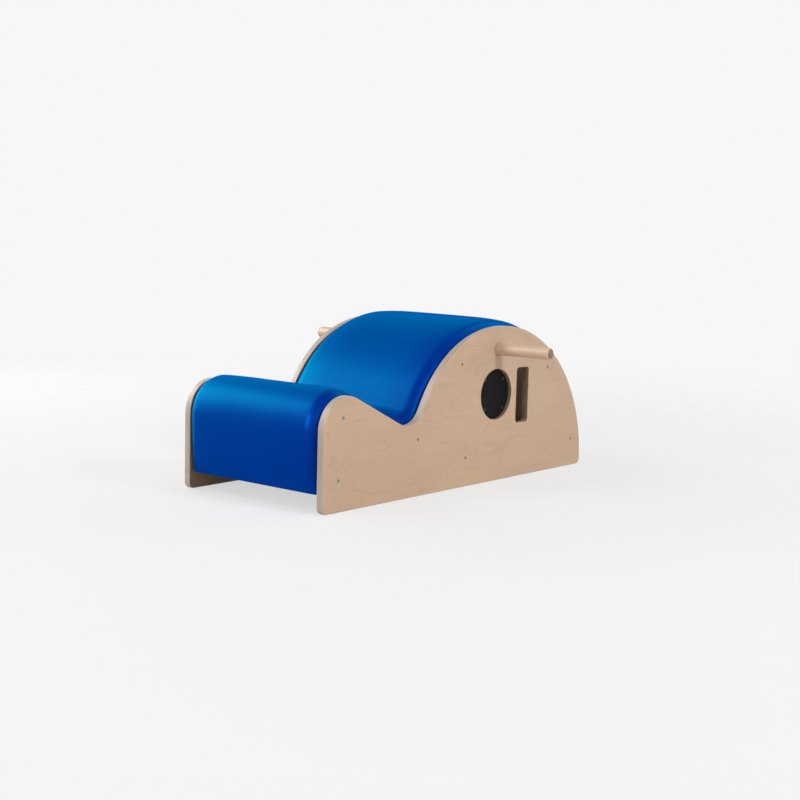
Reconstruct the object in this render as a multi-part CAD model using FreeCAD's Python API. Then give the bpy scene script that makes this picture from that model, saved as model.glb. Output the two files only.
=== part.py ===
import FreeCAD, Part
import math
import os

# Spine corrector: a low seat, a valley and a tall half barrel, padded between two plywood side panels.
# Sizes are in millimetres and degrees. While it is built, X runs back from the front edge of the panels,
# Y runs across and Z runs up from the floor. The finished pieces are moved so that X is centred too.

# Body and side panels
body_width = 430.0
panel_thickness = 18.0
panel_edge_rounding = 3.0
panel_foot_radius = 15.0

# Outline of a side panel, from the front edge over the seat, the valley and the barrel to the back
seat_radius = 73.5
seat_centre_height = 175.0
seat_slope = 25.5
valley_radius = 58.0
rise_length = 14.2
barrel_top_distance = 623.0
barrel_height = 373.0
shoulder_radius = 310.0
barrel_top_radius = 355.0
back_radius = 362.0
shoulder_break = 20.0
back_break = 20.0

# Upholstery: vinyl over foam on a bent plywood deck, all set in from the outline of the panels
vinyl_thickness = 1.2
side_gap = 1.5
crown_height = 16.5
crown_flat_half = 100.0
crown_edge_radius = 30.0
deck_inset = 19.5
deck_thickness = 5.0
hem_width = 30.0
pad_floor_gap = 39.5
front_taper_length = 120.0
back_taper_angle = 19.0
taper_end_inset = 8.0
taper_end_flat_half = 170.0
taper_end_radius = 8.0
taper_sections = 4

# Cross rails between the panels
rail_size = 30.0
rail_chamfer = 1.5
rail_fit = 0.3
apron_rail_depth = 45.0
low_rail_height = 69.0
seat_rail_angle = 114.5
valley_rail_angle = 291.0
barrel_front_rail_angle = 121.0
barrel_back_rail_angle = 51.5
base_rail_ahead = 132.0

# Screws through the panels into the ends of the rails
panel_screw_length = 60.0
panel_screw_shank = 4.5
panel_screw_head = 8.5
panel_screw_sunk = 0.4
screw_play = 0.1
drive_width = 4.0
drive_depth = 2.2

# Screws up through the rails into the decks
deck_screw_shank = 4.0
deck_screw_head = 8.0
deck_screw_bite = 4.0
deck_screw_spacing = 250.0
valley_screw_offset = 9.0

# Grip bar that pushes through both panels, placed from the top of the barrel
bar_ahead = 14.0
bar_drop = 54.3
bar_diameter = 28.6
bar_overhang = 150.0
bar_play = 0.3
bar_chamfer = 3.0
bar_hole_rounding = 2.0

# Round recess with a cover disc
recess_ahead = 16.5
recess_drop = 163.0
recess_diameter = 122.5
recess_depth = 12.0
recess_edge_rounding = 1.0
disc_play = 0.8
disc_thickness = 3.0
disc_edge_chamfer = 0.6
disc_screw_circle = 100.0
disc_screw_count = 4
disc_screw_head = 7.5
disc_screw_head_height = 2.4
disc_screw_shank = 3.5
disc_screw_bite = 5.0

# Hand slot
slot_behind = 91.4
slot_drop = 172.0
slot_width = 49.0
slot_length = 134.5
slot_corner_radius = 8.0

# Staples that hold the hem of the vinyl to the decks
staple_crown = 10.0
staple_wire = 0.9
staple_leg = 4.0
staple_spacing = 45.0
staple_edge_distance = 18.0

OVERSHOOT = 5.0
ACROSS = FreeCAD.Vector(0, 1, 0)

panel_inner = body_width / 2 - panel_thickness
pad_half_width = panel_inner - side_gap
deck_underside = deck_inset + deck_thickness
hem_underside = deck_underside + vinyl_thickness
bar_distance = barrel_top_distance - bar_ahead
bar_height = barrel_height - bar_drop
recess_distance = barrel_top_distance - recess_ahead
recess_height = barrel_height - recess_drop
slot_distance = barrel_top_distance + slot_behind
slot_height = barrel_height - slot_drop


def point(x, z, y=0.0):
    return FreeCAD.Vector(x, y, z)


def direction(angle):
    return point(math.cos(math.radians(angle)), math.sin(math.radians(angle)))


class Line:
    """A straight stretch of the outline; its outer side lies to the left of its run."""

    def __init__(self, start, end):
        self.start = start
        self.end = end
        run = end - start
        run.normalize()
        self.normal = point(-run.z, run.x)

    def station(self, share, outward=0.0):
        return self.start + (self.end - self.start) * share + self.normal * outward

    def outer(self, share):
        return self.normal

    def edge(self, outward=0.0):
        return Part.makeLine(self.station(0.0, outward), self.station(1.0, outward))

    def sweep(self, face):
        return face.extrude(self.end - self.start)


class Arc:
    """A round stretch of the outline; side is 1 where it bulges outward and -1 where it is hollow."""

    def __init__(self, centre, radius, first, last, side):
        self.centre = centre
        self.radius = radius
        self.first = first
        self.last = last
        self.side = side

    def station(self, share, outward=0.0):
        angle = self.first + (self.last - self.first) * share
        return self.centre + direction(angle) * (self.radius + self.side * outward)

    def outer(self, share):
        return direction(self.first + (self.last - self.first) * share) * self.side

    def edge(self, outward=0.0):
        ends = [self.station(share, outward) for share in (0.0, 0.5, 1.0)]
        return Part.Arc(*ends).toShape()

    def sweep(self, face):
        return face.revolve(self.centre, -ACROSS, self.last - self.first)

    def part(self, first, last):
        return Arc(self.centre, self.radius, first, last, self.side)


def valley_before(shoulder_centre, beside, fall):
    """The valley's centre on its line beside the fall, where the straight rise to the shoulder has its length."""
    apart = shoulder_centre - beside
    along = apart.dot(fall)
    aside_square = apart.Length ** 2 - along ** 2
    reach_square = (valley_radius + shoulder_radius) ** 2 + rise_length ** 2
    return beside + fall * (along - math.sqrt(reach_square - aside_square))


def outline():
    """The stretches of a side panel's upper outline, each tangent to the next, front to back."""
    seat_centre = point(seat_radius, seat_centre_height)
    seat = Arc(seat_centre, seat_radius, 180.0, 90.0 - seat_slope, 1)

    top_centre = point(barrel_top_distance, barrel_height - barrel_top_radius)
    top = Arc(top_centre, barrel_top_radius, 90.0 + shoulder_break, 90.0 - back_break, 1)
    shoulder_centre = top.station(0.0) - top.outer(0.0) * shoulder_radius
    back_centre = top.station(1.0) - top.outer(1.0) * back_radius
    foot_rise = (panel_foot_radius - back_centre.z) / (back_radius - panel_foot_radius)
    foot_angle = math.degrees(math.asin(foot_rise))
    back = Arc(back_centre, back_radius, 90.0 - back_break, foot_angle, 1)

    fall_start = seat.station(1.0)
    fall = direction(-seat_slope)
    beside = fall_start + direction(90.0 - seat_slope) * valley_radius
    valley_centre = valley_before(shoulder_centre, beside, fall)
    between = shoulder_centre - valley_centre
    turn = math.atan2(valley_radius + shoulder_radius, rise_length)
    rise_slope = math.degrees(math.atan2(between.z, between.x) + turn)
    valley = Arc(valley_centre, valley_radius, 270.0 - seat_slope, 270.0 + rise_slope, -1)
    shoulder = Arc(shoulder_centre, shoulder_radius, 90.0 + rise_slope, 90.0 + shoulder_break, 1)
    return {
        "front": Line(point(0, panel_foot_radius), point(0, seat_centre_height)),
        "seat": seat,
        "fall": Line(fall_start, valley.station(0.0)),
        "valley": valley,
        "rise": Line(valley.station(1.0), shoulder.station(0.0)),
        "shoulder": shoulder,
        "top": top,
        "back": back,
    }


PATH = outline()
ORDER = ["front", "seat", "fall", "valley", "rise", "shoulder", "top", "back"]
back_foot_centre = PATH["back"].station(1.0, -panel_foot_radius)
body_length = back_foot_centre.x + panel_foot_radius
pad_back_angle = math.degrees(math.asin((pad_floor_gap - PATH["back"].centre.z) / back_radius))
apron = Line(point(0, pad_floor_gap), point(0, seat_centre_height))


def rounded_edges(shape, radius, wanted):
    """Round every edge of the shape that the test wanted picks."""
    picked = [edge for edge in shape.Edges if wanted(edge)]
    return shape.makeFillet(radius, picked)


def on_faces_across(edge, levels):
    """True where an edge lies in one of the planes Y = level."""
    box = edge.BoundBox
    return any(abs(box.YMin - level) < 1e-4 and abs(box.YMax - level) < 1e-4 for level in levels)


def cylinder_across(x, z, radius, y_start, y_end):
    return Part.makeCylinder(radius, y_end - y_start, point(x, z, y_start), ACROSS)


def slot_block(y_start, y_end):
    """The hand slot's space between two planes, with round corners."""
    corner = point(slot_distance - slot_width / 2, slot_height - slot_length / 2, y_start)
    block = Part.makeBox(slot_width, y_end - y_start, slot_length, corner)
    along = [edge for edge in block.Edges if abs(edge.BoundBox.YLength - (y_end - y_start)) < 1e-4]
    return block.makeFillet(min(slot_corner_radius, slot_width * 0.45), along)


class Rail:
    """One cross rail: its centre and outward direction in the XZ plane, its depth and the gap to the deck."""

    def __init__(self, name, centre, outward, depth, gap):
        self.name = name
        self.centre = centre
        self.outward = outward
        self.along = outward.cross(ACROSS)
        self.depth = depth
        self.gap = gap


def rail_circle(arc):
    """The radius on which rail centres lie under a round stretch; under a bulge two corners carry the deck."""
    hem_clear = hem_underside + rail_fit
    half = rail_size / 2
    if arc.side < 0:
        return arc.radius + hem_clear + half
    return math.sqrt((arc.radius - hem_clear) ** 2 - half ** 2) - half


def rail_under(name, stretch, angle):
    """A square rail under a round stretch of the outline."""
    arc = PATH[stretch]
    radius = rail_circle(arc)
    gap = arc.side * (arc.radius - radius) - rail_size / 2 - deck_underside
    return Rail(name, arc.centre + direction(angle) * radius, direction(angle) * arc.side, rail_size, gap)


def make_rails():
    """The rails from the front to the back; the last one ties the panels together near the floor."""
    hem_clear = hem_underside + rail_fit
    apron_centre = point(hem_clear + apron_rail_depth / 2, low_rail_height)
    base_centre = point(barrel_top_distance - base_rail_ahead, low_rail_height)
    back = PATH["back"]
    back_rail_angle = math.degrees(math.asin((low_rail_height - back.centre.z) / rail_circle(back)))
    return [
        Rail("rail_apron", apron_centre, point(-1, 0), apron_rail_depth, hem_clear - deck_underside),
        rail_under("rail_seat", "seat", seat_rail_angle),
        rail_under("rail_valley", "valley", valley_rail_angle),
        rail_under("rail_barrel_front", "shoulder", barrel_front_rail_angle),
        rail_under("rail_barrel_back", "back", barrel_back_rail_angle),
        rail_under("rail_back", "back", back_rail_angle),
        Rail("rail_base", base_centre, point(0, 1), rail_size, 0.0),
    ]


RAILS = make_rails()
DECK_RAILS = [rail for rail in RAILS if rail.name != "rail_base"]


def countersunk_screw(tip, head_centre, shank_radius, head_radius, play=0.0, drive=0.0):
    """A screw from its flat head's centre to its tip; play makes the same shape as a hole."""
    axis = tip - head_centre
    length = axis.Length
    axis.normalize()
    cone_height = head_radius - shank_radius
    head = Part.makeCone(head_radius + play, shank_radius + play, cone_height, head_centre, axis)
    shank = Part.makeCylinder(shank_radius + play, length - shank_radius, head_centre, axis)
    point_start = head_centre + axis * (length - shank_radius)
    point_cone = Part.makeCone(shank_radius + play, (shank_radius + play) / 3, shank_radius, point_start, axis)
    screw = head.fuse([shank, point_cone])
    if drive > 0.0:
        socket = Part.Face(hexagon(head_centre, axis, drive / 2)).extrude(axis * drive_depth)
        screw = screw.cut(socket)
    return screw.removeSplitter()


def hexagon(centre, axis, inner_radius):
    """A hexagon across the axis, as a wire."""
    placement = FreeCAD.Placement(centre, FreeCAD.Rotation(FreeCAD.Vector(0, 0, 1), axis))
    reach = inner_radius / math.cos(math.radians(30))
    corners = []
    for step in range(7):
        angle = math.radians(60 * step)
        corners.append(placement.multVec(FreeCAD.Vector(reach * math.cos(angle), reach * math.sin(angle), 0)))
    return Part.makePolygon(corners)


def panel_screws(play=0.0, drive=0.0):
    """The screws of the left panel, one into the end of each rail."""
    screws = []
    for rail in RAILS:
        head = point(rail.centre.x, rail.centre.z, -body_width / 2 + panel_screw_sunk)
        tip = head + ACROSS * panel_screw_length
        screws.append(countersunk_screw(tip, head, panel_screw_shank / 2, panel_screw_head / 2, play, drive))
    return screws


def side_panel():
    """The left panel with its slot, recess, bar hole and countersunk screw holes."""
    outer = -body_width / 2
    inner = -panel_inner
    front_foot = Arc(point(panel_foot_radius, panel_foot_radius), panel_foot_radius, 270.0, 180.0, 1)
    back_end = PATH["back"].last
    back_foot = Arc(back_foot_centre, panel_foot_radius, back_end, -90.0, 1)
    edges = [front_foot.edge()]
    edges += [PATH[name].edge() for name in ORDER]
    edges.append(back_foot.edge())
    edges.append(Part.makeLine(back_foot.station(1.0), front_foot.station(0.0)))
    face = Part.Face(Part.Wire(edges))
    face.translate(ACROSS * outer)
    panel = face.extrude(ACROSS * panel_thickness)
    panel = panel.cut(slot_block(outer - OVERSHOOT, inner + OVERSHOOT))
    rounding = min(panel_edge_rounding, panel_thickness * 0.4)
    panel = rounded_edges(panel, rounding, lambda edge: on_faces_across(edge, (outer, inner)))

    bar_radius = bar_diameter / 2 + bar_play
    bar_hole = cylinder_across(bar_distance, bar_height, bar_radius, outer - OVERSHOOT, inner + OVERSHOOT)
    recess = cylinder_across(
        recess_distance, recess_height, recess_diameter / 2, outer - OVERSHOOT, outer + recess_depth)
    panel = panel.cut([bar_hole, recess])

    def circle_at(radius, levels):
        def test(edge):
            curve = edge.Curve
            return isinstance(curve, Part.Circle) and abs(curve.Radius - radius) < 1e-4 \
                and on_faces_across(edge, levels)
        return test

    panel = rounded_edges(panel, bar_hole_rounding, circle_at(bar_radius, (outer, inner)))
    panel = rounded_edges(panel, recess_edge_rounding, circle_at(recess_diameter / 2, (outer,)))
    head_room = []
    for rail in RAILS:
        radius = panel_screw_head / 2 + screw_play
        head_room.append(
            cylinder_across(rail.centre.x, rail.centre.z, radius, outer - OVERSHOOT, outer + panel_screw_sunk))
    panel = panel.cut(panel_screws(play=screw_play) + head_room)
    return panel.cut(disc_screws(play=screw_play))


def disc_screws(play=0.0):
    """The four round-head screws of the left cover disc."""
    face_y = -body_width / 2 + recess_depth - disc_thickness
    length = disc_thickness + disc_screw_bite
    screws = []
    for step in range(disc_screw_count):
        angle = 360.0 / disc_screw_count * (step + 0.5)
        centre = point(recess_distance, recess_height) + direction(angle) * (disc_screw_circle / 2)
        seat = point(centre.x, centre.z, face_y)
        shank = Part.makeCylinder(disc_screw_shank / 2 + play, length, seat, ACROSS)
        if play > 0.0:
            screws.append(shank)
            continue
        head = Part.makeCylinder(disc_screw_head / 2, disc_screw_head_height, seat, -ACROSS)
        top = face_y - disc_screw_head_height
        head = rounded_edges(head, disc_screw_head_height * 0.6, lambda edge: on_faces_across(edge, (top,)))
        socket_start = point(centre.x, centre.z, top)
        socket = Part.Face(hexagon(socket_start, ACROSS, disc_screw_shank / 3))
        socket = socket.extrude(ACROSS * disc_screw_head_height * 0.6)
        screws.append(head.fuse(shank).cut(socket).removeSplitter())
    return screws


def cover_disc():
    """The left cover disc on the floor of its recess."""
    face_y = -body_width / 2 + recess_depth - disc_thickness
    radius = recess_diameter / 2 - disc_play
    disc = cylinder_across(recess_distance, recess_height, radius, face_y, face_y + disc_thickness)
    rim = [edge for edge in disc.Edges if on_faces_across(edge, (face_y,))]
    disc = disc.makeChamfer(disc_edge_chamfer, rim)
    return disc.cut(disc_screws(play=screw_play))


def cross_section(stretch, share, crown, flat_half, half_width, radius, base):
    """The padded section at one station: a flat crown, two falling arcs, round edges and straight sides."""
    level = -deck_inset
    drop = crown - level
    span = half_width - flat_half
    radius = min(radius, drop * 0.95, span * 0.95)
    fall_radius = ((span - radius) ** 2 + drop ** 2 - radius ** 2) / (2 * (drop - radius))
    turn = math.asin((span - radius) / (fall_radius - radius))
    half_turn = turn / 2
    rest = (math.pi / 2 + turn) / 2

    def place(y, outward):
        position = stretch.station(share, outward)
        return FreeCAD.Vector(position.x, y, position.z)

    def fall_point(angle):
        return flat_half + fall_radius * math.sin(angle), crown - fall_radius * (1 - math.cos(angle))

    def edge_point(angle):
        return half_width - radius + radius * math.sin(angle), level + radius * math.cos(angle)

    right = [(flat_half, crown), fall_point(half_turn), fall_point(turn), edge_point(rest), (half_width, level)]
    left = [(-y, outward) for y, outward in right]
    right = [place(*pair) for pair in right]
    left = [place(*pair) for pair in left]
    low_right = place(half_width, -base)
    low_left = place(-half_width, -base)
    edges = [
        Part.makeLine(left[0], right[0]),
        Part.Arc(right[0], right[1], right[2]).toShape(),
        Part.Arc(right[2], right[3], right[4]).toShape(),
        Part.makeLine(right[4], low_right),
        Part.makeLine(low_right, low_left),
        Part.makeLine(low_left, left[4]),
        Part.Arc(left[4], left[3], left[2]).toShape(),
        Part.Arc(left[2], left[1], left[0]).toShape(),
    ]
    return Part.Wire(edges)


def taper(stretch, full_share, end_share, skin, base):
    """The pad between its full section and its flat lower end, as one smooth loft."""
    wires = []
    for step in range(taper_sections):
        share = step / (taper_sections - 1)
        ease = 1.0 - share ** 2
        crown = -taper_end_inset + (crown_height + taper_end_inset) * ease
        flat_half = taper_end_flat_half + (crown_flat_half - taper_end_flat_half) * ease
        radius = taper_end_radius + (crown_edge_radius - taper_end_radius) * ease
        station = full_share + (end_share - full_share) * share
        wires.append(cross_section(
            stretch, station, crown - skin, flat_half, pad_half_width - skin, radius - skin, base))
    return Part.makeLoft(wires, True, False)


def back_taper_arc():
    return PATH["back"].part(pad_back_angle + back_taper_angle, pad_back_angle)


def pad_body(skin, depth):
    """The padded form from the front end to the back end; skin shrinks it, depth is its inset underside."""
    base = depth + OVERSHOOT
    front_full = (apron.end.z - apron.start.z - front_taper_length) / (apron.end.z - apron.start.z)
    end_cut = skin / (apron.end.z - apron.start.z)
    back_arc = back_taper_arc()
    back_end_cut = skin / (back_radius * math.radians(back_taper_angle))
    plain = [
        Line(apron.station(1.0 - front_full), apron.end),
        PATH["seat"],
        PATH["fall"],
        PATH["valley"],
        PATH["rise"],
        PATH["shoulder"],
        PATH["top"],
        PATH["back"].part(PATH["back"].first, back_arc.first),
    ]
    solids = []
    for stretch in plain:
        section = cross_section(
            stretch, 0.0, crown_height - skin, crown_flat_half, pad_half_width - skin,
            crown_edge_radius - skin, base)
        solids.append(stretch.sweep(Part.Face(section)))
    solids.append(taper(apron, 1.0 - front_full, end_cut, skin, base))
    solids.append(taper(back_arc, 0.0, 1.0 - back_end_cut, skin, base))
    rough = solids[0].fuse(solids[1:])
    return rough.common(above(depth, skin)).removeSplitter()


def above(depth, skin):
    """Everything outward of one inset, from the front end to the back end."""
    reach = crown_height + OVERSHOOT
    return layer(seat_stretches(skin) + barrel_stretches(skin), body_width, -reach, depth)


def layer_section(stretch, half_width, upper, lower):
    """A plain rectangle between two insets at the start of a stretch."""
    corners = []
    for y, inset in ((-half_width, upper), (half_width, upper), (half_width, lower), (-half_width, lower)):
        position = stretch.station(0.0, -inset)
        corners.append(FreeCAD.Vector(position.x, y, position.z))
    corners.append(corners[0])
    return Part.Face(Part.makePolygon(corners))


def layer(stretches, half_width, upper, lower):
    """A sheet of even thickness that follows some stretches of the outline."""
    solids = [stretch.sweep(layer_section(stretch, half_width, upper, lower)) for stretch in stretches]
    if len(solids) == 1:
        return solids[0]
    return solids[0].fuse(solids[1:]).removeSplitter()


def seat_stretches(skin):
    """Front end to the middle of the valley rail; skin is the vinyl under the lower end."""
    valley = PATH["valley"]
    return [
        Line(point(0, pad_floor_gap + skin), apron.end),
        PATH["seat"],
        PATH["fall"],
        valley.part(valley.first, valley_rail_angle),
    ]


def barrel_stretches(skin):
    """The middle of the valley rail to the back end."""
    valley = PATH["valley"]
    back = PATH["back"]
    end = pad_back_angle + math.degrees(skin / back_radius)
    return [
        valley.part(valley_rail_angle, valley.last),
        PATH["rise"],
        PATH["shoulder"],
        PATH["top"],
        back.part(back.first, end),
    ]


def deck(stretches):
    sheet = layer(stretches, pad_half_width - vinyl_thickness, deck_inset, deck_underside)
    return sheet.cut(deck_screws(play=screw_play))


def foam(body, stretches):
    """The part of the padded form that stands on one deck."""
    reach = crown_height + OVERSHOOT
    return body.common(layer(stretches, body_width, -reach, deck_inset))


def vinyl_cover(outer_body):
    """The skin over the foam and round the edges of the decks, with a hem stapled underneath."""
    everything = seat_stretches(vinyl_thickness) + barrel_stretches(vinyl_thickness)
    inner_body = pad_body(vinyl_thickness, deck_underside)
    decks = layer(everything, pad_half_width - vinyl_thickness, deck_inset, deck_underside)
    mouth = layer(everything, pad_half_width - hem_width, deck_underside - OVERSHOOT, hem_underside + OVERSHOOT)
    return outer_body.cut([inner_body, decks, mouth])


def rail_bar(rail):
    """A chamfered rail across the body, drilled for the screws."""
    corners = []
    for side, height in ((-1, -1), (1, -1), (1, 1), (-1, 1)):
        corner = rail.centre + rail.along * (side * rail_size / 2) + rail.outward * (height * rail.depth / 2)
        corners.append(FreeCAD.Vector(corner.x, -panel_inner, corner.z))
    corners.append(corners[0])
    bar = Part.Face(Part.makePolygon(corners)).extrude(ACROSS * (2 * panel_inner))
    bar = bar.makeChamfer(rail_chamfer, [edge for edge in bar.Edges if edge.BoundBox.YLength > panel_inner])
    left = panel_screws(play=screw_play)
    right = [mirrored(screw) for screw in left]
    return bar.cut(left + right + deck_screws(play=screw_play))


def deck_screws(play=0.0, drive=0.0):
    """Two screws up through each deck rail; the valley rail has a pair into each deck."""
    valley_deck_radius = valley_radius + deck_underside
    screws = []
    for rail in DECK_RAILS:
        offsets = (-valley_screw_offset, valley_screw_offset) if rail.name == "rail_valley" else (0.0,)
        for offset in offsets:
            rise = valley_deck_radius - math.sqrt(valley_deck_radius ** 2 - offset ** 2)
            length = rail.depth + rail.gap + rise + deck_screw_bite
            for side in (-1, 1):
                head = rail.centre + rail.along * offset - rail.outward * (rail.depth / 2)
                head.y = side * deck_screw_spacing / 2
                tip = head + rail.outward * length
                screws.append(
                    countersunk_screw(tip, head, deck_screw_shank / 2, deck_screw_head / 2, play, drive))
    return screws


def staples():
    """The wire staples along both hems, each crown flat on the vinyl and its legs in the deck."""
    made = []
    stretches = seat_stretches(vinyl_thickness) + barrel_stretches(vinyl_thickness)
    for stretch in stretches:
        count = int(stretch.edge(-deck_underside).Length // staple_spacing)
        for step in range(count):
            share = (step + 0.5) / count
            if under_a_rail(stretch.station(share, -hem_underside)):
                continue
            for side in (-1, 1):
                made.append(staple(stretch, share, side * (pad_half_width - staple_edge_distance)))
    return made


def under_a_rail(spot):
    """True where a rail leaves no room for a staple."""
    for rail in DECK_RAILS:
        offset = spot - rail.centre
        beside = abs(offset.dot(rail.along)) < rail_size / 2 + 2 * staple_wire
        if beside and abs(offset.dot(rail.outward)) < rail.depth:
            return True
    return False


def staple(stretch, share, middle):
    """One staple across the hem, as a flat bridge with two legs."""
    outward = stretch.outer(share)
    along = outward.cross(ACROSS)
    base = stretch.station(share, -hem_underside)
    profile = []
    half = staple_crown / 2
    for y, height in ((-half, -staple_wire), (half, -staple_wire), (half, staple_leg),
                      (half - staple_wire, staple_leg), (half - staple_wire, 0), (-half + staple_wire, 0),
                      (-half + staple_wire, staple_leg), (-half, staple_leg)):
        corner = base + outward * height - along * (staple_wire / 2)
        profile.append(FreeCAD.Vector(corner.x, middle + y, corner.z))
    profile.append(profile[0])
    return Part.Face(Part.makePolygon(profile)).extrude(along * staple_wire)


def grip_bar():
    """One round bar through both panels, with chamfered ends."""
    reach = body_width / 2 + bar_overhang
    bar = cylinder_across(bar_distance, bar_height, bar_diameter / 2, -reach, reach)
    return bar.makeChamfer(bar_chamfer, [edge for edge in bar.Edges if on_faces_across(edge, (-reach, reach))])


def mirrored(shape):
    return shape.mirror(FreeCAD.Vector(0, 0, 0), ACROSS)


def group(solids):
    return Part.makeCompound(solids)


def build():
    """Every piece under its node's name."""
    outer_body = pad_body(0.0, hem_underside)
    padding = pad_body(vinyl_thickness, deck_underside)
    panel = side_panel()
    left_screws = group(panel_screws(drive=drive_width))
    disc = cover_disc()
    left_disc_screws = group(disc_screws())
    pieces = {
        "side_panel_left": panel,
        "side_panel_right": mirrored(panel),
        "seat_deck": deck(seat_stretches(vinyl_thickness)),
        "barrel_deck": deck(barrel_stretches(vinyl_thickness)),
        "seat_foam": foam(padding, seat_stretches(vinyl_thickness)),
        "barrel_foam": foam(padding, barrel_stretches(vinyl_thickness)),
        "vinyl_cover": vinyl_cover(outer_body),
        "cover_staples": group(staples()),
        "deck_screws": group(deck_screws(drive=drive_width * 0.8)),
        "grip_bar": grip_bar(),
        "panel_screws_left": left_screws,
        "panel_screws_right": mirrored(left_screws),
        "recess_disc_left": disc,
        "recess_disc_right": mirrored(disc),
        "disc_screws_left": left_disc_screws,
        "disc_screws_right": mirrored(left_disc_screws),
    }
    for rail in RAILS:
        pieces[rail.name] = rail_bar(rail)
    return pieces


def main():
    os.makedirs("parts", exist_ok=True)
    pieces = build()
    boxes = [pieces[name].optimalBoundingBox(False) for name in ("side_panel_left", "vinyl_cover")]
    lowest = min(box.XMin for box in boxes)
    highest = max(box.XMax for box in boxes)
    shift = FreeCAD.Vector(-(lowest + highest) / 2, 0, 0)
    for name, shape in pieces.items():
        shape.translate(shift)
        shape.exportStep(f"parts/{name}.step")
        state = "valid" if shape.isValid() else "NOT VALID"
        print(name, len(shape.Solids), state, round(shape.Volume / 1000, 2))
    print("body length", round(body_length, 2), "x shift", round(shift.x, 3))


main()
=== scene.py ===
import math

import bmesh
import bpy
import numpy as np
from mathutils import Matrix, Vector


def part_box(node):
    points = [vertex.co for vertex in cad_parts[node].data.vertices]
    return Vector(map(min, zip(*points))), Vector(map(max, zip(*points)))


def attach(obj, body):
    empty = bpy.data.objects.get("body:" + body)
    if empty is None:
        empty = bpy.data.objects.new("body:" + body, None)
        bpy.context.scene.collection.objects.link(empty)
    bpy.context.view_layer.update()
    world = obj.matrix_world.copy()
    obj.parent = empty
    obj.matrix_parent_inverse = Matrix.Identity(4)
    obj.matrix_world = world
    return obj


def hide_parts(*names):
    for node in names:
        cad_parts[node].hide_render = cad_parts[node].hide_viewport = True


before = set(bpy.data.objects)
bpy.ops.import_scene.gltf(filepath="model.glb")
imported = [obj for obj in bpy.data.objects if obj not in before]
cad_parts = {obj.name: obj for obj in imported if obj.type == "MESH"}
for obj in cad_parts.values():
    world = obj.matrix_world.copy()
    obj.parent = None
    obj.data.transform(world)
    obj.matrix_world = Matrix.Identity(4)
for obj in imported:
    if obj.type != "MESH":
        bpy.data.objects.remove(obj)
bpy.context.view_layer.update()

# Spine corrector: padded seat, valley and half barrel between two plywood panels, with a grip bar.
# Lengths are in metres. X runs back from the low seat, Y across, Z up from the floor.

MM = 0.001

# Outline of the panels, as in the construction
SEAT_RADIUS = 73.5 * MM
SEAT_CENTRE_HEIGHT = 175.0 * MM
SEAT_SLOPE = 25.5
VALLEY_RADIUS = 58.0 * MM
RISE_LENGTH = 14.2 * MM
BARREL_TOP_DISTANCE = 623.0 * MM
BARREL_HEIGHT = 373.0 * MM
SHOULDER_RADIUS = 310.0 * MM
BARREL_TOP_RADIUS = 355.0 * MM
BACK_RADIUS = 362.0 * MM
SHOULDER_BREAK = 20.0
BACK_BREAK = 20.0
PAD_FLOOR_GAP = 39.5 * MM
PANEL_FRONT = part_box("side_panel_left")[0].x

# Upholstery
VINYL = 1.2 * MM
PAD_HALF_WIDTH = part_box("vinyl_cover")[1].y
DECK_INSET = 19.5 * MM
DECK_THICKNESS = 5.0 * MM
HEM_INSET = DECK_INSET + DECK_THICKNESS + VINYL
HEM_WIDTH = 30.0 * MM
VALLEY_RAIL_ANGLE = 291.0
STATION_SPACING = 8.0 * MM
END_ROUNDING = 3.0 * MM
HEM_ROUNDING = 1.2 * MM


def direction(angle):
    """Unit vector in the XZ plane at an angle in degrees above X."""
    return np.array([math.cos(math.radians(angle)), math.sin(math.radians(angle))])


class Line:
    """A straight stretch of the outline in the XZ plane; its outer side lies to the left of its run."""

    def __init__(self, start, end):
        self.start = np.array(start, float)
        self.run = np.array(end, float) - self.start
        self.length = float(np.linalg.norm(self.run))
        self.normal = np.array([-self.run[1], self.run[0]]) / self.length

    def at(self, share):
        return self.start + self.run * share, self.normal


class Arc:
    """A round stretch; side is 1 where it bulges outward and -1 where it is hollow."""

    def __init__(self, centre, radius, first, last, side):
        self.centre = np.array(centre, float)
        self.radius = radius
        self.first = first
        self.last = last
        self.side = side
        self.length = radius * abs(math.radians(last - first))

    def at(self, share):
        outward = direction(self.first + (self.last - self.first) * share)
        return self.centre + outward * self.radius, outward * self.side


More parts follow.
